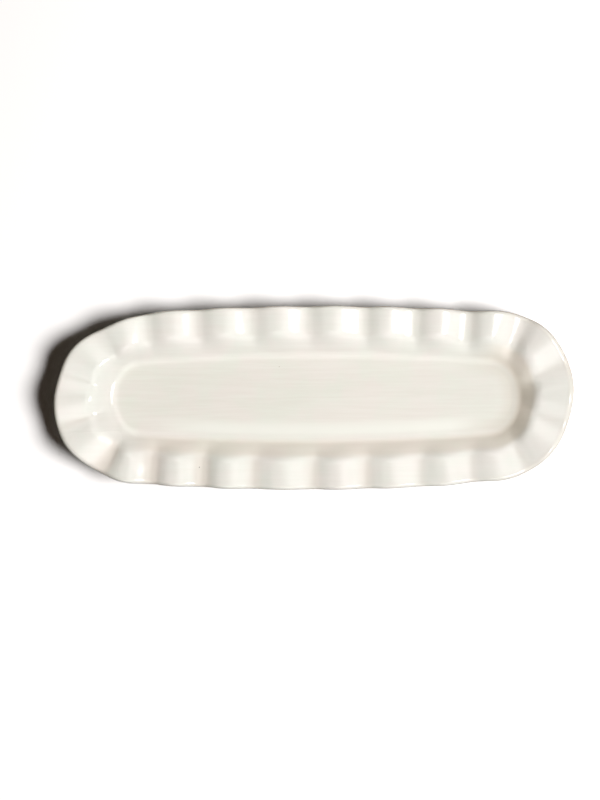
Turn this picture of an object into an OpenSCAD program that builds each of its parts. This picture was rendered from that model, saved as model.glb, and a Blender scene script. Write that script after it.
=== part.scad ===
/* [Plate] */
// Length over the lip
plate_l = 394; // [340:1:460]
// Width over the lip
plate_w = 140; // [128:1:160]
// How far the middle of each long side bows out past the tops of the rounded ends
side_bow = 5; // [3:0.5:8]

/* [Clay and glaze] */
// Thickness of the fired clay
clay_t = 4.6; // [3.6:0.1:6]
// Thickness of the glaze on each side of it
glaze_t = 0.4; // [0.2:0.05:0.6]

/* [Rim and wall] */
// Width of the ruffled rim, from the lip in to the knee
rim_w = 18.5; // [14:0.5:22]
// Extra width of the rim at the two ends
end_extra = 5; // [0:0.5:8]
// Tilt of the rim, rising towards the lip
rim_tilt = 7; // [3:1:16]
// Radius of the knee, where the rim turns down into the wall
knee_r = 17; // [12:0.5:22]
// Tilt of the wall at its steepest
wall_tilt = 36; // [28:1:44]
// Length of the straight stretch of wall
wall_run = 9; // [5:0.5:11]
// Radius of the cove, where the wall turns into the floor of the well
cove_r = 16; // [11:0.5:21]
// Radius of the heel, where the wall turns under the floor outside
heel_r = 6; // [3:0.5:8]

/* [Ruffle] */
// Height of the ruffle at the lip, from an even trough to the crest
flute_rise = 4.6; // [2:0.2:6]
// How far the lip draws in at an even trough
flute_draw = 0.5; // [0:0.1:1.5]
// Distance in from the lip at which the ruffle has died out
flute_reach = 36; // [30:0.5:38]
// Distance over which the ruffle grows to its full height
flute_growth = 18; // [12:0.5:22]

/* [Hand-made outline] */
// How far the lip is pressed in where the outline is flattest
uneven_draw = 4; // [0:0.2:6]
// Distance along the rim over which a flat or full spot fades out
uneven_spread = 20; // [12:1:30]

/* [Foot ring] */
// Height of the foot ring
foot_h = 3; // [2:0.1:5]
// Width of the foot ring where it joins the floor
foot_w = 5; // [3.5:0.1:6]
// Width of the bare face that it rests on
foot_rest_w = 3.4; // [2:0.1:3.5]
// How far the foot ring stands in from the heel at the two ends
foot_inset = 1.5; // [0.8:0.1:2.5]
// Bare clay left between the foot ring and the glaze inside it
foot_wipe = 0.8; // [0.4:0.1:1.5]

/* [Hidden] */

$fn = 96;

clay_color = "#cdb79b";
foot_color = "#c4ab8c";
glaze_color = "#f2efe4";
back_color = "#ece8dc";

// Widths of the flutes against their mean width, from the flute on the axis of the left
// end to the one on the axis of the right end, on the side towards +Y and on the other.
// The two sides differ because the ruffle is pinched by hand.
upper_width_shares = [0.81, 0.95, 0.91, 0.98, 1.06, 1.08, 1.1, 0.98, 1.02, 1, 1, 1.06];
lower_width_shares = [0.93, 0.97, 0.91, 0.99, 1, 1.17, 1.01, 1.06, 1, 0.99, 0.98, 0.94];
// Depths of the troughs between those flutes, on the same two sides
upper_depth_shares = [0.6, 0.7, 0.9, 1, 1, 1, 1.05, 1.15, 1.3, 1.35, 1];
lower_depth_shares = [0.8, 1.2, 1.2, 1.2, 0.95, 0.95, 0.95, 0.8, 0.8, 0.8, 0.7];
// Where each flute is sampled, from one trough to the next: closer near the trough
flute_step_shares = [0, 0.09, 0.2, 0.34, 0.5, 0.66, 0.8, 0.91];
// Roundness of the troughs, where 0 is a sharp crease
trough_round_share = 0.5;
// How far the crests between the two ends lean towards the left end
crest_lean_share = 0.07;
// Flat and full spots of the outline: how far along a side each lies from the left end
// to the right end, on the side towards +Y, or on the other side where it is negative
uneven_place_shares = [0.145, 0.87, 0.955, -0.05, -0.8, -0.91, -0.99];
// How deep each is pressed in; a full spot stands out and is negative
uneven_depth_shares = [1.1, -0.65, -0.4, -0.8, 0.3, 0.3, 0.5];

cove_steps = 3;
heel_steps = 2;
knee_steps = 2;
rim_steps = 2;
lip_steps = 2;

// The outline is an oval of four arcs: two end arcs and two long side arcs
half_l = plate_l / 2;
half_w = plate_w / 2;
end_r = half_w - side_bow;
end_x = half_l - end_r;
side_bow_r = (end_x ^ 2 + half_w ^ 2 - end_r ^ 2) / (2 * side_bow);
side_y = side_bow_r - half_w;
side_half_angle = atan(end_x / side_y);

// The section runs from the floor of the well out to the lip
full_t = clay_t + 2 * glaze_t;
clay_depth = clay_t + glaze_t;
lip_r = full_t / 2;
under_z = foot_h;
floor_z = under_z + clay_depth;
knee_in = rim_w + knee_r * (sin(wall_tilt) - sin(rim_tilt));
cove_in = knee_in + wall_run * cos(wall_tilt);
floor_in = cove_in + cove_r * sin(wall_tilt);
cove_z = floor_z + cove_r * (1 - cos(wall_tilt));
knee_z = cove_z + wall_run * sin(wall_tilt);
rim_z = knee_z + knee_r * (cos(rim_tilt) - cos(wall_tilt));
lip_in = lip_r * (1 + sin(rim_tilt));
lip_top_z = rim_z + (rim_w - lip_in) * tan(rim_tilt);
lip_z = lip_top_z - lip_r * cos(rim_tilt);
// Outside, the wall runs on down past the cove to the heel
heel_run = (cove_z - clay_depth * cos(wall_tilt) - under_z - heel_r * (1 - cos(wall_tilt)))
    / sin(wall_tilt);
heel_in = cove_in - clay_depth * sin(wall_tilt) + heel_run * cos(wall_tilt)
    + heel_r * sin(wall_tilt);

// How much of the ruffle is felt at a distance in from the lip, from 0 to 1
function grown(inward) =
    let (t = max(0, min(1, (flute_reach - inward) / flute_growth)))
    t * t * (3 - 2 * t);

// One point of the section, sunk below the upper face by some depth: [in from lip, z, ruffle]
function sunk(inward, z, tilt, depth) =
    [inward - depth * sin(tilt), z - depth * cos(tilt), grown(inward)];

// The section over the knee and the rim, from the top of the wall outwards
function rim_section(depth) = [
    for (i = [0 : knee_steps])
        let (t = wall_tilt + (rim_tilt - wall_tilt) * i / knee_steps)
        sunk(rim_w + knee_r * (sin(t) - sin(rim_tilt)),
            rim_z - knee_r * (cos(rim_tilt) - cos(t)), t, depth),
    for (i = [1 : rim_steps])
        let (inward = rim_w + (lip_in - rim_w) * i / rim_steps)
        sunk(inward, rim_z + (rim_w - inward) * tan(rim_tilt), rim_tilt, depth)
];

// The section of the cove, from the edge of the floor to the foot of the wall
function cove_section(depth) = [
    for (i = [0 : cove_steps])
        let (t = wall_tilt * i / cove_steps)
        sunk(floor_in - cove_r * sin(t), floor_z + cove_r * (1 - cos(t)), t, depth)
];

// The section of the heel and the wall above it, on the outside
function heel_section(depth) =
    let (r = heel_r + depth - clay_depth)
    [
        for (i = [0 : heel_steps])
            let (t = wall_tilt * i / heel_steps)
            [heel_in - r * sin(t), under_z + heel_r - r * cos(t), 0],
        sunk(cove_in, cove_z, wall_tilt, depth)
    ];

// The round of the lip, from a face out to the seam where the two glazes meet
function lip_section(radius, face_angle) = [
    for (i = [1 : lip_steps])
        let (t = face_angle * (1 - i / lip_steps))
        [lip_r - radius * cos(t), lip_z + radius * sin(t), 1]
];

function upper_section(depth) =
    concat(cove_section(depth), rim_section(depth), lip_section(lip_r - depth, 90 + rim_tilt));
function lower_section(depth) =
    concat(heel_section(depth), rim_section(depth), lip_section(depth - lip_r, rim_tilt - 90));

// Lengths along the middle of the rim, on which the flutes are spaced
guide_in = rim_w * 2 / 3;
guide_end_l = (end_r - guide_in) * (90 - side_half_angle) * PI / 180;
guide_side_l = (side_bow_r - guide_in) * 2 * side_half_angle * PI / 180;
guide_half_l = 2 * guide_end_l + guide_side_l;

// The arc centre, arc radius and direction of the ray that leaves the guide line at a
// length along it, from the left end's axis to the right end's
function ray(along) =
    along < guide_end_l
    ? [-end_x, 0, end_r, 180 - along / (end_r - guide_in) * 180 / PI]
    : along < guide_end_l + guide_side_l
    ? [0, -side_y, side_bow_r,
        90 + side_half_angle - (along - guide_end_l) / (side_bow_r - guide_in) * 180 / PI]
    : [end_x, 0, end_r,
        (guide_half_l - along) / (end_r - guide_in) * 180 / PI];

// Height of the ruffle along a flute, from -1 in an even trough to 1 on the crest: a
// broad round crest between narrower troughs
function wave(u) =
    let (r = trough_round_share)
    2 * (sqrt(sin(180 * u) ^ 2 + r * r) - r) / (sqrt(1 + r * r) - r) - 1;

function sum_to(list, count, i = 0) = i >= count ? 0 : list[i] + sum_to(list, count, i + 1);

// How far the outline is pressed in at a place given in shares, as the spots' are
function pressed(place) = sum_to([
    for (i = [0 : len(uneven_place_shares) - 1])
        let (
            gap = abs(place - uneven_place_shares[i]),
            away = min(gap, 2 - gap) * guide_half_l / uneven_spread
        )
        uneven_draw * uneven_depth_shares[i] * exp(-away * away)
], len(uneven_place_shares));

// Stations along one side, each a ray, the ruffle's height there and how far the
// outline is pressed in. The trough nearest to a station gives its depth. The first and
// the last flute lie half on each side of the long axis.
function side_stations(side, widths, depths) =
    let (
        flutes = len(widths),
        mean_l = guide_half_l / (sum_to(widths, flutes) - (widths[0] + widths[flutes - 1]) / 2)
    )
    [
        for (f = [0 : flutes - 1], u = flute_step_shares)
            let (first = f == 0, last = f == flutes - 1)
            if (!(first && u < 0.5) && !(last && u > 0.5))
                let (
                    along = (sum_to(widths, f) - widths[0] / 2 + u * widths[f]) * mean_l,
                    r = ray(along),
                    depth = u == 0.5 ? 1 : depths[u < 0.5 ? f - 1 : f],
                    lean = first || last ? 0 : 4 * crest_lean_share * u * (1 - u)
                )
                [[r[0], side * r[1], r[2], side * r[3]],
                    1 - (1 - wave(u + lean)) * depth,
                    pressed(side * along / guide_half_l)]
    ];
lower_stations = side_stations(-1, lower_width_shares, lower_depth_shares);
upper_stations = side_stations(1, upper_width_shares, upper_depth_shares);
// All stations, anticlockwise seen from above, starting on the left end's axis
stations = concat(
    lower_stations,
    [for (i = [len(upper_stations) - 2 : -1 : 1]) upper_stations[i]]
);

// A distance in from the lip, on a ray that runs in some direction, where the rim is
// wider the nearer the ray lies to the long axis
function stretched(inward, direction) =
    inward + end_extra * cos(direction) ^ 2 * max(0, min(1, inward / rim_w));

// One ring of points round the plate at a point of the section
function ring(p) = [
    for (s = stations)
        let (
            drawn = flute_draw * (1 - s[1]) / 2 + s[2],
            reach = s[0][2] - stretched(p[0], s[0][3]) - p[2] * drawn
        )
        [s[0][0] + reach * cos(s[0][3]), s[0][1] + reach * sin(s[0][3]),
            p[1] + flute_rise / 2 * p[2] * s[1]]
];

// A closed skin over two runs of the section, one outwards and one back in. The outward
// run lies below the inward one. Both runs' quads are split along the same diagonals,
// so that neighbouring solids meet face to face.
module skin(outward, inward, capped) {
    section = concat(outward, [for (i = [len(inward) - 1 : -1 : 0]) inward[i]]);
    rings = len(section);
    n = len(stations);
    strips = capped ? rings - 1 : rings;
    points = [for (p = section) each ring(p)];
    faces = [
        for (j = [0 : strips - 1], k = [0 : n - 1])
            let (
                a = j * n + k, b = j * n + (k + 1) % n,
                c = ((j + 1) % rings) * n + (k + 1) % n, d = ((j + 1) % rings) * n + k
            )
            each j < len(outward) ? [[a, d, b], [b, d, c]] : [[a, c, b], [a, d, c]]
    ];
    caps = capped
        ? [[for (k = [0 : n - 1]) k], [for (k = [n - 1 : -1 : 0]) (rings - 1) * n + k]]
        : [];
    polyhedron(points = points, faces = concat(faces, caps));
}

// The fired clay: floor, wall and ruffled rim in one piece
module clay_body() {
    lower = lower_section(clay_depth);
    color(clay_color)
        skin([for (i = [0 : len(lower) - 2]) lower[i]], upper_section(glaze_t), true);
}

// The glaze over the well, the rim and the upper half of the lip
module glaze_face() {
    color(glaze_color) skin(upper_section(glaze_t), upper_section(0), true);
}

// The glaze under the rim and down the wall, from the lip to the heel
module glaze_back() {
    color(back_color) skin(lower_section(full_t), lower_section(clay_depth), false);
}

// Distances in from the lip of the foot ring's two flanks, where they join the floor.
// They are kept to a hundredth of a millimetre, so that its four arcs meet exactly.
foot_out_in = ceil(100 * (stretched(heel_in, 0) + foot_inset)) / 100;
foot_in_in = foot_out_in + foot_w;
foot_slope = (foot_w - foot_rest_w) / 2;

// The foot ring's cross-section, turned right round the centre of one of the four arcs
module foot_hoop(centre, arc_r, fineness) {
    translate(centre) rotate_extrude($fn = fineness) polygon([
        [arc_r - foot_in_in, under_z],
        [arc_r - foot_in_in + foot_slope, 0],
        [arc_r - foot_out_in - foot_slope, 0],
        [arc_r - foot_out_in, under_z]
    ]);
}

// How far the wedge below runs past the long axis, against its whole length
wedge_share = 1.05;

// The wedge that one side arc fills. Its edges run from that arc's centre through the
// centres of the two end arcs, where the arcs meet, and a little past the lip.
module side_wedge() {
    x = wedge_share * end_x;
    y = (wedge_share - 1) * side_y;
    translate([0, 0, -foot_h]) linear_extrude(3 * foot_h)
        polygon([[0, -side_y], [x, y], [-x, y]]);
}

// The low ring of clay that the plate stands on, one arc for each arc of the outline
module foot_ring() {
    color(foot_color) union() {
        for (side = [0, 180]) rotate([0, 0, side]) {
            intersection() {
                foot_hoop([0, -side_y, 0], side_bow_r, 720);
                side_wedge();
            }
            difference() {
                foot_hoop([end_x, 0, 0], end_r, 96);
                for (turn = [0, 180]) rotate([0, 0, turn]) side_wedge();
            }
        }
    }
}

// The four-arc oval at a distance in from the lip, as a flat shape
module oval(inward) {
    arc_r = end_r - inward;
    bow_r = side_bow_r - inward;
    meet_x = end_x + arc_r * sin(side_half_angle);
    intersection() {
        translate([0, -side_y]) circle(r = bow_r, $fn = 1440);
        translate([0, side_y]) circle(r = bow_r, $fn = 1440);
        translate([-meet_x, -half_w]) square([2 * meet_x, plate_w]);
    }
    for (side = [-1, 1]) translate([side * end_x, 0]) circle(r = arc_r);
}

// The glaze on the underside of the floor, inside the foot ring
module glaze_recess() {
    color(back_color)
        translate([0, 0, under_z - glaze_t])
            linear_extrude(glaze_t)
                oval(foot_in_in + foot_wipe);
}

clay_body();
foot_ring();
glaze_face();
glaze_back();
glaze_recess();
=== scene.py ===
"""An asparagus plate: a long oval of glazed earthenware with a pinched, ruffled rim."""
import math

import bmesh
import bpy
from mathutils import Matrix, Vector, noise


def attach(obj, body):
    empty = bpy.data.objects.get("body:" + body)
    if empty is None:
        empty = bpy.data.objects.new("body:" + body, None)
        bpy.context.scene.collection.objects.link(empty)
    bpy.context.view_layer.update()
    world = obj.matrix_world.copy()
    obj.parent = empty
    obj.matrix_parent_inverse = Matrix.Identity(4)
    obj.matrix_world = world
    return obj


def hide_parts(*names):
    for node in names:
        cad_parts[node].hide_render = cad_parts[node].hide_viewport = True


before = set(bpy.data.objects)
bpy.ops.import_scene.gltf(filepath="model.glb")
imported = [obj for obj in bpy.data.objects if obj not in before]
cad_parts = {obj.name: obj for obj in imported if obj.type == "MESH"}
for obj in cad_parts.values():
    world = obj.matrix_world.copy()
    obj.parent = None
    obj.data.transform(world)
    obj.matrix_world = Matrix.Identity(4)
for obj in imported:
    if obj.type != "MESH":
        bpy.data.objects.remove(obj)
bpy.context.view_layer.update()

MM = 0.001

# The plate's sizes in millimetres, the same as the solids'
PLATE_L = 394
PLATE_W = 140
SIDE_BOW = 5
CLAY_T = 4.6
GLAZE_T = 0.4
RIM_W = 18.5
END_EXTRA = 5
RIM_TILT = 7
KNEE_R = 17
WALL_TILT = 36
WALL_RUN = 9
COVE_R = 16
HEEL_R = 6
FLUTE_RISE = 4.6
FLUTE_DRAW = 0.5
FLUTE_REACH = 36
FLUTE_GROWTH = 18
UNEVEN_DRAW = 4
UNEVEN_SPREAD = 20
FOOT_H = 3
FOOT_W = 5
FOOT_REST_W = 3.4
FOOT_INSET = 1.5
FOOT_WIPE = 0.8

# Sizes of what only the eye sees, in millimetres
FLOOR_MIDDLE_IN = 54
FOOT_SOFT = 0.7
FOOT_FILLET = 0.5
RECESS_EDGE = 2
HAND_RISE = 0.22
HAND_LENGTH = 34
PINCH_RISE = 0.14
PINCH_LENGTH = 13

# Where the one dark speck in the glaze lies
SPECK_SPOT = (-88.3, -52.5)

# How finely the ruffle and the section are sampled, the visible face more than the clay
STEPS_A_FLUTE = 20
FINE = 3
PLAIN = 1
# Edges sharper than this, in degrees, aren't shaded smooth
SHARP_ANGLE = 40
# Points closer than this, in millimetres, become one
SAME_PLACE = 0.0005

# Widths of the flutes along the upper and the lower side of the photo against their
# mean, from the flute on the left end's axis to the one on the right end's axis
UPPER_WIDTH_SHARES = (0.81, 0.95, 0.91, 0.98, 1.06, 1.08, 1.1, 0.98, 1.02, 1, 1, 1.06)
LOWER_WIDTH_SHARES = (0.93, 0.97, 0.91, 0.99, 1, 1.17, 1.01, 1.06, 1, 0.99, 0.98, 0.94)
# Depths of the troughs between them
UPPER_DEPTH_SHARES = (0.6, 0.7, 0.9, 1, 1, 1, 1.05, 1.15, 1.3, 1.35, 1)
LOWER_DEPTH_SHARES = (0.8, 1.2, 1.2, 1.2, 0.95, 0.95, 0.95, 0.8, 0.8, 0.8, 0.7)
TROUGH_ROUND_SHARE = 0.5
# How far the crests between the ends lean towards the left end
CREST_LEAN_SHARE = 0.07
# Flat and full spots of the outline: how far along the upper side each lies, or along
# the lower side where it is negative, and how deep it is pressed in
UNEVEN_SPOTS = ((0.145, 1.1), (0.87, -0.65), (0.955, -0.4), (-0.05, -0.8), (-0.8, 0.3),
                (-0.91, 0.3), (-0.99, 0.5))

# The outline is an oval of four arcs
HALF_L = PLATE_L / 2
HALF_W = PLATE_W / 2
END_R = HALF_W - SIDE_BOW
END_X = HALF_L - END_R
SIDE_BOW_R = (END_X ** 2 + HALF_W ** 2 - END_R ** 2) / (2 * SIDE_BOW)
SIDE_Y = SIDE_BOW_R - HALF_W
SIDE_HALF_ANGLE = math.atan(END_X / SIDE_Y)


def sin_deg(angle):
    return math.sin(math.radians(angle))


def cos_deg(angle):
    return math.cos(math.radians(angle))


# The section runs from the floor of the well out to the lip
FULL_T = CLAY_T + 2 * GLAZE_T
CLAY_DEPTH = CLAY_T + GLAZE_T
LIP_R = FULL_T / 2
UNDER_Z = FOOT_H
FLOOR_Z = UNDER_Z + CLAY_DEPTH
KNEE_IN = RIM_W + KNEE_R * (sin_deg(WALL_TILT) - sin_deg(RIM_TILT))
COVE_IN = KNEE_IN + WALL_RUN * cos_deg(WALL_TILT)
FLOOR_IN = COVE_IN + COVE_R * sin_deg(WALL_TILT)
COVE_Z = FLOOR_Z + COVE_R * (1 - cos_deg(WALL_TILT))
KNEE_Z = COVE_Z + WALL_RUN * sin_deg(WALL_TILT)
RIM_Z = KNEE_Z + KNEE_R * (cos_deg(RIM_TILT) - cos_deg(WALL_TILT))
LIP_IN = LIP_R * (1 + sin_deg(RIM_TILT))
RIM_SLOPE = math.tan(math.radians(RIM_TILT))
LIP_Z = RIM_Z + (RIM_W - LIP_IN) * RIM_SLOPE - LIP_R * cos_deg(RIM_TILT)
# Outside, the wall runs on down to a heel beside the foot
WALL_FOOT_Z = COVE_Z - CLAY_DEPTH * cos_deg(WALL_TILT)
HEEL_RUN = ((WALL_FOOT_Z - UNDER_Z - HEEL_R * (1 - cos_deg(WALL_TILT)))
            / sin_deg(WALL_TILT))
HEEL_IN = (COVE_IN - CLAY_DEPTH * sin_deg(WALL_TILT) + HEEL_RUN * cos_deg(WALL_TILT)
           + HEEL_R * sin_deg(WALL_TILT))


def grown(inward):
    """How much of the ruffle is felt at a distance in from the lip, from 0 to 1."""
    t = max(0, min(1, (FLUTE_REACH - inward) / FLUTE_GROWTH))
    return t * t * (3 - 2 * t)


def sunk(inward, z, tilt, depth):
    """A point of the section at a depth below the upper face: its distance in from the
    lip, its height and its share of the ruffle, which is that of the face above it."""
    return inward - depth * sin_deg(tilt), z - depth * cos_deg(tilt), grown(inward)


def steps(count):
    """Shares from 0 to 1 in even steps."""
    return [i / count for i in range(count + 1)]


def section_face(depth, fine):
    """The section of the face at a depth, from the middle of the floor to the lip."""
    floor = [(FLOOR_MIDDLE_IN + (FLOOR_IN - FLOOR_MIDDLE_IN) * s, FLOOR_Z - depth, 0)
             for s in steps(2 * fine)]
    cove = [sunk(FLOOR_IN - COVE_R * sin_deg(WALL_TILT * s),
                 FLOOR_Z + COVE_R * (1 - cos_deg(WALL_TILT * s)), WALL_TILT * s, depth)
            for s in steps(5 * fine)[1:]]
    return floor + cove + section_wall(depth, fine)


def section_wall(depth, fine):
    """The section from the top of the cove, over the knee, to the lip's round."""
    wall = [sunk(COVE_IN + (KNEE_IN - COVE_IN) * s, COVE_Z + (KNEE_Z - COVE_Z) * s,
                 WALL_TILT, depth) for s in steps(fine + 1)[1:]]
    knee = [sunk(RIM_W + KNEE_R * (sin_deg(t) - sin_deg(RIM_TILT)),
                 RIM_Z - KNEE_R * (cos_deg(RIM_TILT) - cos_deg(t)), t, depth)
            for t in [WALL_TILT + (RIM_TILT - WALL_TILT) * s for s in steps(4 * fine)[1:]]]
    rim = [sunk(d, RIM_Z + (RIM_W - d) * RIM_SLOPE, RIM_TILT, depth)
           for d in [RIM_W + (LIP_IN - RIM_W) * s for s in steps(5 * fine)[1:]]]
    return wall + knee + rim


def section_back(depth, fine):
    """The section of the underside at a depth, from the heel to the lip."""
    radius = HEEL_R + depth - CLAY_DEPTH
    heel = [(HEEL_IN - radius * sin_deg(WALL_TILT * s),
             UNDER_Z + HEEL_R - radius * cos_deg(WALL_TILT * s), 0)
            for s in steps(3 * fine)]
    return heel + section_wall(depth, fine)


def section_lip(depth, fine):
    """The round of the lip, from the face over to the back."""
    radius = LIP_R - depth
    return [(LIP_R - radius * cos_deg(t), LIP_Z + radius * sin_deg(t), 1)
            for t in [90 + RIM_TILT - 180 * s for s in steps(6 * fine)[1:-1]]]


def section_coat(depth, fine):
    """The section from the floor of the well over the lip and under to the heel."""
    return (section_face(depth, fine) + section_lip(depth, fine)
            + section_back(FULL_T - depth, fine)[::-1])


def softened(points, reach):
    """A run of points with the corners between its ends rounded over a reach."""
    soft = [points[0]]
    for before, corner, after in zip(points, points[1:], points[2:]):
        corner = Vector(corner)
        start = corner + (Vector(before) - corner).normalized() * reach
        end = corner + (Vector(after) - corner).normalized() * reach
        for s in steps(4):
            soft.append(tuple(start.lerp(corner, s).lerp(corner.lerp(end, s), s)))
    return soft + [points[-1]]


# Lengths along the middle of the rim, on which the flutes are spaced
GUIDE_IN = RIM_W * 2 / 3
GUIDE_END_R = END_R - GUIDE_IN
GUIDE_SIDE_R = SIDE_BOW_R - GUIDE_IN
GUIDE_END_L = GUIDE_END_R * (math.pi / 2 - SIDE_HALF_ANGLE)
GUIDE_SIDE_L = GUIDE_SIDE_R * 2 * SIDE_HALF_ANGLE
GUIDE_HALF_L = 2 * GUIDE_END_L + GUIDE_SIDE_L


def ray(along):
    """The arc's centre, its radius and the ray's direction at a length along the guide."""
    if along < GUIDE_END_L:
        return -END_X, 0, END_R, math.pi - along / GUIDE_END_R
    if along < GUIDE_END_L + GUIDE_SIDE_L:
        turned = (along - GUIDE_END_L) / GUIDE_SIDE_R
        return 0, -SIDE_Y, SIDE_BOW_R, math.pi / 2 + SIDE_HALF_ANGLE - turned
    return END_X, 0, END_R, (GUIDE_HALF_L - along) / GUIDE_END_R


def wave(u):
    """Height of the ruffle along a flute: -1 in the trough, 1 on the broad crest."""
    r = TROUGH_ROUND_SHARE
    return 2 * (math.hypot(sin_deg(180 * u), r) - r) / (math.hypot(1, r) - r) - 1


def pressed(place):
    """How far the lip is pressed in at a place, given as the spots' are."""
    gaps = [(min(abs(place - spot), 2 - abs(place - spot)), depth)
            for spot, depth in UNEVEN_SPOTS]
    return sum(UNEVEN_DRAW * depth * math.exp(-(gap * GUIDE_HALF_L / UNEVEN_SPREAD) ** 2)
               for gap, depth in gaps)


def side_stations(side, widths, depths):
    """The stations of one side, from the left end's axis to the right end's: each has
    its ray, the ruffle's height and how far the lip is pressed in."""
    share_l = GUIDE_HALF_L / (sum(widths) - (widths[0] + widths[-1]) / 2)
    start = -widths[0] / 2
    stations = []
    for flute, width in enumerate(widths):
        for u in steps(STEPS_A_FLUTE)[:-1]:
            trough = flute - 1 if u < 0.5 else flute
            inner = 0 < flute < len(widths) - 1
            lean = 4 * CREST_LEAN_SHARE * u * (1 - u) if inner else 0
            if 0 <= trough < len(depths) or u == 0.5:
                depth = depths[trough] if u != 0.5 else 1
                along = (start + u * width) * share_l
                x, y, radius, direction = ray(along)
                stations.append((x, side * y, radius, side * direction,
                                 1 - (1 - wave(u + lean)) * depth,
                                 pressed(side * along / GUIDE_HALF_L)))
        start += width
    return stations


# All the stations, anticlockwise seen from above, from the left end's axis
STATIONS = (side_stations(-1, LOWER_WIDTH_SHARES, LOWER_DEPTH_SHARES)
            + side_stations(1, UPPER_WIDTH_SHARES, UPPER_DEPTH_SHARES)[-2:0:-1])


def stretched(inward, direction):
    """A distance in from the lip, where the rim is wider towards the two ends."""
    share = max(0, min(1, inward / RIM_W))
    return inward + END_EXTRA * math.cos(direction) ** 2 * share


def place(station, point, even):
    """A point of the section on a station's ray, in metres. An even section keeps its
    distance from the outline all round; any other shows that the rim is bent by hand."""
    x, y, radius, direction, height, push = station
    inward, z, ruffle = point
    if not even:
        inward = stretched(inward, direction)
    reach = radius - inward - ruffle * (FLUTE_DRAW * (1 - height) / 2 + push)
    x += reach * math.cos(direction)
    y += reach * math.sin(direction)
    by_hand = (HAND_RISE * noise.noise(Vector((x, y, 0)) / HAND_LENGTH)
               + PINCH_RISE * noise.noise(Vector((x, y, 0)) / PINCH_LENGTH))
    return Vector((x, y, z + ruffle * (FLUTE_RISE / 2 * height + by_hand))) * MM


def ring_shell(name, section, capped, even=False):
    """A closed shell with one section all round the plate, from a grid bent to the
    stations. Capped, its section starts and ends in the middle; else it is a loop."""
    rows = section if capped else section + section[:1]
    count = len(STATIONS)
    bm = bmesh.new()
    from_lip = bm.verts.layers.float.new("from_lip")
    ruffle = bm.verts.layers.float.new("ruffle")
    bmesh.ops.create_grid(bm, x_segments=count, y_segments=len(rows) - 1, size=1)
    for i, vert in enumerate(bm.verts):
        row, column = divmod(i, count + 1)
        station = STATIONS[column % count]
        vert.co = place(station, rows[row], even)
        vert[from_lip] = rows[row][0]
        vert[ruffle] = rows[row][2] * station[4]
    bmesh.ops.remove_doubles(bm, verts=bm.verts[:], dist=SAME_PLACE * MM)
    if capped:
        bmesh.ops.holes_fill(bm, edges=bm.edges[:], sides=0)
    bmesh.ops.recalc_face_normals(bm, faces=bm.faces[:])
    for face in bm.faces:
        face.smooth = True
    for edge in bm.edges:
        edge.smooth = edge.calc_face_angle(0) < math.radians(SHARP_ANGLE)
    mesh = bpy.data.meshes.new(name)
    bm.to_mesh(mesh)
    bm.free()
    piece = bpy.data.objects.new(name, mesh)
    bpy.context.scene.collection.objects.link(piece)
    return piece


def hex_linear(code):
    """The linear colour of an sRGB hex value."""
    parts = [int(code[i:i + 2], 16) / 255 for i in (1, 3, 5)]
    return [c / 12.92 if c <= 0.04045 else ((c + 0.055) / 1.055) ** 2.4 for c in parts] + [1]


def add_node(tree, kind, settings=(), **links):
    """Adds a node with its settings, and links or sets its inputs by name, or by number
    where the name is an underscore and a number."""
    node = tree.nodes.new(kind)
    for key, value in dict(settings).items():
        setattr(node, key, value)
    for key, value in links.items():
        socket = node.inputs[int(key[1:]) if key[0] == "_" else key.replace("_", " ")]
        if isinstance(value, bpy.types.NodeSocket):
            tree.links.new(value, socket)
        else:
            socket.default_value = value
    return node


def new_material(name):
    """An empty material and its node tree."""
    material = bpy.data.materials.new(name)
    material.use_nodes = True
    material.node_tree.nodes.clear()
    return material, material.node_tree


def within(tree, *limits):
    """The share that all the limits leave together. Each limit is a value, where it
    starts and where it ends, and the shares that it gives there if not 0 and 1."""
    share = None
    for value, start, end, *shares in limits:
        first, last = shares or (0, 1)
        ramp = add_node(tree, "ShaderNodeMapRange", {"interpolation_type": "SMOOTHSTEP"},
                        Value=value, From_Min=start, From_Max=end, To_Min=first, To_Max=last)
        share = ramp.outputs["Result"] if share is None else add_node(
            tree, "ShaderNodeMath", {"operation": "MULTIPLY"},
            _0=share, _1=ramp.outputs["Result"]).outputs[0]
    return share


def tinted(tree, colour, tint, *limits):
    """A colour with a tint laid over it within the limits."""
    under, over = [hex_linear(c) if isinstance(c, str) else c for c in (colour, tint)]
    return add_node(tree, "ShaderNodeMix", {"data_type": "RGBA"}, _0=within(tree, *limits),
                    _6=under, _7=over).outputs[2]


def patches(tree, coords, size, detail, scale=(1, 1, 1)):
    """Soft noise with patches of a size in millimetres, shorter where the scale is large."""
    placed = add_node(tree, "ShaderNodeMapping", Vector=coords, Scale=scale)
    return add_node(tree, "ShaderNodeTexNoise", Vector=placed.outputs[0],
                    Scale=1 / (size * MM), Detail=detail, Roughness=0.55).outputs[0]


def brushed_cream(tree, coords, from_lip):
    """The cream of the glaze as the potter's brush left it."""
    # Broad, faint clouds between a greenish and a pinkish cream, less yellow on the rim
    rim = (from_lip, 40, 24)
    colour = tinted(tree, tinted(tree, "#edede4", "#f1f1ea", rim),
                    tinted(tree, "#f1ebe5", "#f6f1ec", rim),
                    (patches(tree, coords, 26, 2), 0.3, 0.7))
    # Faint strokes of the brush along the plate, and the finer marks of its bristles
    brushed = (from_lip, 24, 40, 0.6, 1)
    strokes = patches(tree, coords, 60, 2, (1, 24, 1))
    colour = tinted(tree, colour, "#c9bfae", brushed, (strokes, 0.3, 0.7, 0.07, 0))
    bristles = patches(tree, coords, 30, 2, (1, 16, 1))
    return tinted(tree, colour, "#d6c3bb", brushed, (bristles, 0.35, 0.65, 0.06, 0))


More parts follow.
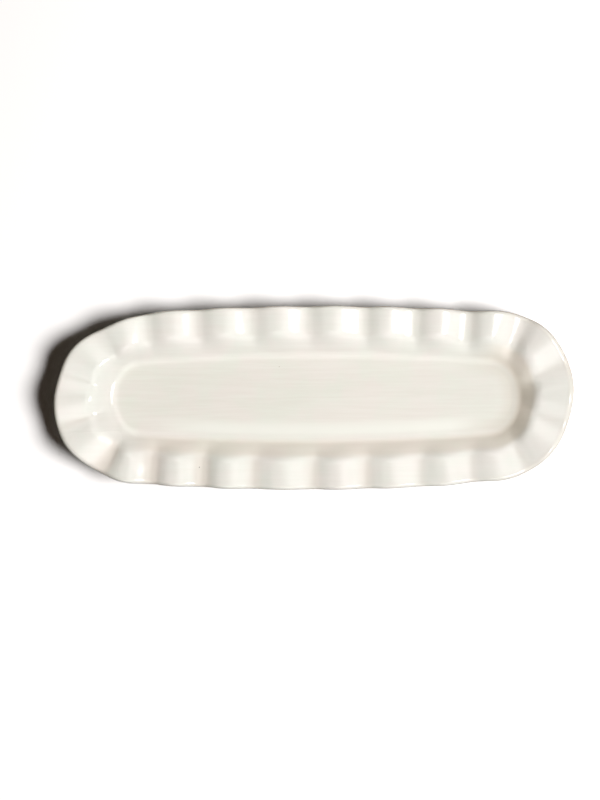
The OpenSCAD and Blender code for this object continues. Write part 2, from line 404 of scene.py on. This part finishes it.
def glaze_thickness_and_shade(tree, colour, coords, from_lip, ruffle, along, across):
    """The glaze's colour changed by how thick it lies, and by painted shade and a painted
    reflection, with places in millimetres.
    """
    # Thin glaze on the troughs lets some of the clay's colour through, and the darker tint
    # there, strongest along the lower side, is also painted shade in the creases
    colour = tinted(tree, colour, "#d9cabe", (ruffle, 0, -1.4, 0, 0.5),
                    (across, 50, -50, 0.25, 1))
    # All of it is a little greyer towards the right end, a painted shade that tones down the
    # light falling there
    colour = tinted(tree, colour, "#dfdcd8", (along, 30, 180, 0, 0.3))
    # It is thinner on the steep wall, along the lower side and at both ends; the warm tint on
    # the lower and right walls, which face away from the key light, and the grey on the left
    # end's wall are also painted shade
    steep = ((from_lip, 22, 28), (from_lip, 40, 35))
    colour = tinted(tree, colour, "#f0dcc6", *steep, (along, -150, -120), (along, 150, 120),
                    (across, -20, -35, 0, 0.25))
    colour = tinted(tree, colour, "#f0dcc6", *steep, (along, 120, 150, 0, 0.32))
    colour = tinted(tree, colour, "#dad7d1", *steep, (along, -120, -150, 0, 0.4))
    # It is thicker where it ran down and pooled at the edge of the floor, and the lighter band
    # there, strongest on the lower side, is also a painted reflection
    colour = tinted(tree, colour, "#f6f5ee", (from_lip, 38, 44), (from_lip, 56, 45),
                    (across, 20, -20, 0.1, 1), (along, -140, -80), (along, 140, 100))
    # Painted shade from the outer floor up the cove at the right end, carrying the dark of that
    # wall further into the floor
    colour = tinted(tree, colour, "#cabfaf", (from_lip, 53, 41), (from_lip, 28, 36),
                    (along, 100, 145, 0, 0.28))
    # It ran off the crown of the lip, most of all at the right end, where the darker tint is
    # also painted shade that tones down the lip's light
    colour = tinted(tree, colour, "#ddd2c3", (from_lip, 5, 1.5), (along, 100, 170, 0.08, 0.3))
    # Round the very edge it left a thin, warm line, here and there
    return tinted(tree, colour, "#c8a987", (from_lip, 1.1, 0.1), (across, -50, 50, 0.05, 1),
                  (patches(tree, coords, 7, 2), 0.3, 0.7, 0.15, 0.55))


def specked(tree, colour, coords, height):
    """The glaze's colour with the specks that iron in the clay leaves."""
    # A few tiny ones lie all over
    cells = add_node(tree, "ShaderNodeTexVoronoi", Vector=coords, Scale=1 / (38 * MM))
    colour = tinted(tree, colour, "#8d7862", (cells.outputs["Distance"], 0.014, 0.008, 0, 0.8))
    # A darker one lies on the upper face of the rim, on the lower side
    flat_place = add_node(tree, "ShaderNodeVectorMath", {"operation": "MULTIPLY"},
                          _0=coords, _1=(1, 1, 0)).outputs[0]
    away = add_node(tree, "ShaderNodeVectorMath", {"operation": "DISTANCE"}, _0=flat_place,
                    _1=[v * MM for v in SPECK_SPOT] + [0]).outputs["Value"]
    return tinted(tree, colour, "#6f6459", (away, 0.65 * MM, 0.25 * MM, 0, 0.75),
                  (height, 15.5, 16.5))


def glaze_material():
    """Glossy cream glaze over earthenware: the eye gets a soft white that turns warmer and
    darker on the troughs, walls and lip, partly where it runs thin and partly as painted shade,
    and whiter round the floor, partly pooled glaze and partly a painted reflection."""
    material, tree = new_material("cream_glaze")
    coords = add_node(tree, "ShaderNodeTexCoord").outputs["Object"]
    from_lip, ruffle = [
        add_node(tree, "ShaderNodeAttribute", {"attribute_name": name}).outputs["Fac"]
        for name in ("from_lip", "ruffle")]
    millimetres = add_node(tree, "ShaderNodeVectorMath", {"operation": "SCALE"},
                           _0=coords, Scale=1 / MM)
    along, across, height = add_node(tree, "ShaderNodeSeparateXYZ",
                                     Vector=millimetres.outputs[0]).outputs
    colour = brushed_cream(tree, coords, from_lip)
    colour = glaze_thickness_and_shade(tree, colour, coords, from_lip, ruffle, along, across)
    colour = specked(tree, colour, coords, height)
    # The glaze's surface is a little wavy, as fired glaze is
    waves = patches(tree, coords, 12, 2)
    wavy = add_node(tree, "ShaderNodeBump", Strength=1, Distance=0.09 * MM, Height=waves)
    # Its gloss varies a little, and it is duller in one place near the left end
    gloss = within(tree, (patches(tree, coords, 18, 2), 0.3, 0.7, 0.08, 0.15))
    dull = within(tree, (along, -140, -152), (across, -20, -28))
    roughness = add_node(tree, "ShaderNodeMath", {"operation": "MULTIPLY_ADD"},
                         _0=dull, _1=0.2, _2=gloss)
    shader = add_node(tree, "ShaderNodeBsdfPrincipled", Base_Color=colour,
                      Roughness=roughness.outputs[0], IOR=1.5, Normal=wavy.outputs[0])
    add_node(tree, "ShaderNodeOutputMaterial", Surface=shader.outputs["BSDF"])
    return material


def clay_material(name, light, dark):
    """Bare fired earthenware: the eye gets a dry, grainy buff with darker specks."""
    material, tree = new_material(name)
    coords = add_node(tree, "ShaderNodeTexCoord").outputs["Object"]
    colour = tinted(tree, light, dark, (patches(tree, coords, 14, 3), 0.3, 0.7))
    # The sand in the clay is finer than this, and wouldn't show as fine as it is
    grain = patches(tree, coords, 0.9, 2)
    colour = tinted(tree, colour, "#8f7457", (grain, 0.58, 0.72, 0, 0.5))
    sand = add_node(tree, "ShaderNodeBump", Strength=1, Distance=0.06 * MM, Height=grain)
    shader = add_node(tree, "ShaderNodeBsdfPrincipled", Base_Color=colour, Roughness=0.9,
                      IOR=1.45, Normal=sand.outputs[0])
    add_node(tree, "ShaderNodeOutputMaterial", Surface=shader.outputs["BSDF"])
    return material


glaze = glaze_material()
clay = clay_material("buff_earthenware", "#d2bb9c", "#c6aa88")
foot_clay = clay_material("wiped_earthenware", "#c8ae8d", "#b99b78")

# The glaze is one coat from the floor of the well over the lip and down to the heel
coat_in = section_coat(GLAZE_T, PLAIN)
coat = ring_shell("glaze_coat", section_coat(0, FINE) + coat_in[::-1], capped=True)
body = ring_shell("clay_biscuit", coat_in, capped=True)

# The foot ring stands a little inside the heel, at a whole hundredth of a millimetre
FOOT_OUT_IN = math.ceil(100 * (stretched(HEEL_IN, 0) + FOOT_INSET)) / 100
FOOT_IN_IN = FOOT_OUT_IN + FOOT_W
FOOT_SLOPE = (FOOT_W - FOOT_REST_W) / 2
foot = ring_shell("foot_rim", softened(
    [(FOOT_IN_IN + FOOT_FILLET, UNDER_Z, 0), (FOOT_IN_IN, UNDER_Z - FOOT_FILLET / 2, 0),
     (FOOT_IN_IN - FOOT_SLOPE, 0, 0), (FOOT_OUT_IN + FOOT_SLOPE, 0, 0),
     (FOOT_OUT_IN, UNDER_Z - FOOT_FILLET / 2, 0), (FOOT_OUT_IN - FOOT_FILLET, UNDER_Z, 0)],
    FOOT_SOFT / 2), capped=False, even=True)
# The glaze inside the ring was wiped back from it
recess_in = FOOT_IN_IN + FOOT_WIPE
recess = ring_shell("recess_coat", softened(
    [(recess_in + RECESS_EDGE, UNDER_Z - GLAZE_T, 0), (recess_in, UNDER_Z - GLAZE_T, 0),
     (recess_in, UNDER_Z, 0)], GLAZE_T / 2), capped=True, even=True)

for piece, slot, nodes, material in (
        (coat, "face_glaze", ("glaze_face", "glaze_back"), glaze),
        (body, "fired_clay", ("clay_body",), clay),
        (foot, "bare_foot", ("foot_ring",), foot_clay),
        (recess, "back_glaze", ("glaze_recess",), glaze)):
    piece.data.materials.append(material)
    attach(piece, "root")
    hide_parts(*nodes)


# How far the floor reaches from the plate to each side, in metres
FLOOR_REACH = 4


def make_floor():
    """A white sweep that keeps the plate's shadow."""
    bm = bmesh.new()
    bmesh.ops.create_grid(bm, x_segments=1, y_segments=1, size=FLOOR_REACH)
    mesh = bpy.data.meshes.new("floor")
    bm.to_mesh(mesh)
    bm.free()
    sweep = bpy.data.objects.new("floor", mesh)
    bpy.context.scene.collection.objects.link(sweep)
    material, tree = new_material("white_paper")
    seen = add_node(tree, "ShaderNodeLightPath").outputs
    # It throws little light back, and is pale in the gloss and white to the camera, where
    # its own shadow is a warm grey
    shade = tinted(tree, (0.3, 0.3, 0.29, 1), (0.8, 0.8, 0.78, 1), (seen["Is Glossy Ray"], 0, 1))
    shade = tinted(tree, shade, (1.98, 1.89, 1.83, 1), (seen["Is Camera Ray"], 0, 1))
    paper = add_node(tree, "ShaderNodeBsdfDiffuse", Color=shade)
    # Far from the plate it fades into the white of the studio
    coords = add_node(tree, "ShaderNodeTexCoord").outputs["Object"]
    away = add_node(tree, "ShaderNodeVectorMath", {"operation": "LENGTH"}, _0=coords)
    far = within(tree, (away.outputs["Value"], 0.4, 0.6), (seen["Is Camera Ray"], 0, 1))
    white = add_node(tree, "ShaderNodeEmission", Color=(1, 1, 1, 1))
    faded = add_node(tree, "ShaderNodeMixShader", _0=far, _1=paper.outputs[0],
                     _2=white.outputs[0])
    add_node(tree, "ShaderNodeOutputMaterial", Surface=faded.outputs[0])
    mesh.materials.append(material)
    return sweep


def softbox(name, azimuth, elevation, distance, width, height, power, tint="#ffffff"):
    """A round softbox aimed at the plate, from two angles in degrees, in metres and watts."""
    lamp = bpy.data.lights.new(name, "AREA")
    lamp.color = hex_linear(tint)[:3]
    lamp.shape = "ELLIPSE"
    lamp.size = width
    lamp.size_y = height
    lamp.energy = power
    light = bpy.data.objects.new(name, lamp)
    away = Vector((cos_deg(azimuth) * cos_deg(elevation), sin_deg(azimuth) * cos_deg(elevation),
                   sin_deg(elevation)))
    light.location = away * distance
    light.rotation_euler = away.to_track_quat("Z", "Y").to_euler()
    light.visible_camera = False
    bpy.context.scene.collection.objects.link(light)
    return light


def make_room():
    """The studio round the plate: white to the camera, nearly dark on the floor's shadow,
    and in the gloss brighter towards the lamps and dark around the camera."""
    world = bpy.data.worlds.new("studio")
    world.use_nodes = True
    tree = world.node_tree
    tree.nodes.clear()
    seen = add_node(tree, "ShaderNodeLightPath").outputs
    toward = add_node(tree, "ShaderNodeTexCoord").outputs["Generated"]
    toward = add_node(tree, "ShaderNodeSeparateXYZ", Vector=toward).outputs
    room = tinted(tree, (0, 0, 0, 1), (2.7, 2.7, 2.7, 1), (toward["Z"], 1, 0.88),
                  (toward["Z"], 0.4, 0.75, 0.3, 1), (toward["X"], -0.5, 0.35, 0.63, 1),
                  (toward["X"], 0.25, 0.62, 1, 0.08))
    shade = tinted(tree, (0.0105, 0.0077, 0.0049, 1), room, (seen["Is Glossy Ray"], 0, 1))
    shade = tinted(tree, shade, (1, 1, 1, 1), (seen["Is Camera Ray"], 0, 1))
    background = add_node(tree, "ShaderNodeBackground", Color=shade, Strength=1)
    add_node(tree, "ShaderNodeOutputWorld", Surface=background.outputs["Background"])
    return world


floor = make_floor()
bpy.context.scene.world = make_room()

plate_parts = bpy.data.collections.new("plate_parts")
for piece in (coat, body, foot, recess):
    plate_parts.objects.link(piece)

# The key light shapes the plate and casts the shadow
key = softbox("key", azimuth=-15, elevation=47.1, distance=2.8, width=1.7, height=1.3,
              power=73.5, tint="#fbfdff")
key.visible_glossy = False
# Its glare is a nearer softbox that shows in the plate's gloss only
glare = softbox("glare", azimuth=-12, elevation=54, distance=1.05, width=0.34, height=0.27,
                power=4.4)
glare.visible_diffuse = False
glare.light_linking.receiver_collection = plate_parts
# The fill lifts the plate alone
fill = softbox("fill", azimuth=75, elevation=85, distance=2.5, width=2, height=2,
               power=25, tint="#fffaed")
fill.visible_glossy = False
fill.light_linking.receiver_collection = plate_parts

# The camera looks straight down, turned a little, with the plate off its centre. The
# view is as high as given at the lip's height.
VIEW_H = 0.6055
VIEW_DISTANCE = 1.5
SENSOR_W = 36
TURN = math.radians(-0.25)
camera = bpy.data.cameras.new("camera")
camera.sensor_width = SENSOR_W
camera.lens = SENSOR_W * VIEW_DISTANCE / VIEW_H
camera_object = bpy.data.objects.new("camera", camera)
offset = Vector((-11.6 * MM, -1.74 * MM, 0))
camera_object.location = (offset.x * math.cos(TURN) - offset.y * math.sin(TURN),
                          offset.x * math.sin(TURN) + offset.y * math.cos(TURN),
                          VIEW_DISTANCE + 23 * MM)
camera_object.rotation_euler = (0, 0, TURN)
bpy.context.scene.collection.objects.link(camera_object)
bpy.context.scene.camera = camera_object

bpy.context.scene.view_settings.view_transform = "Standard"
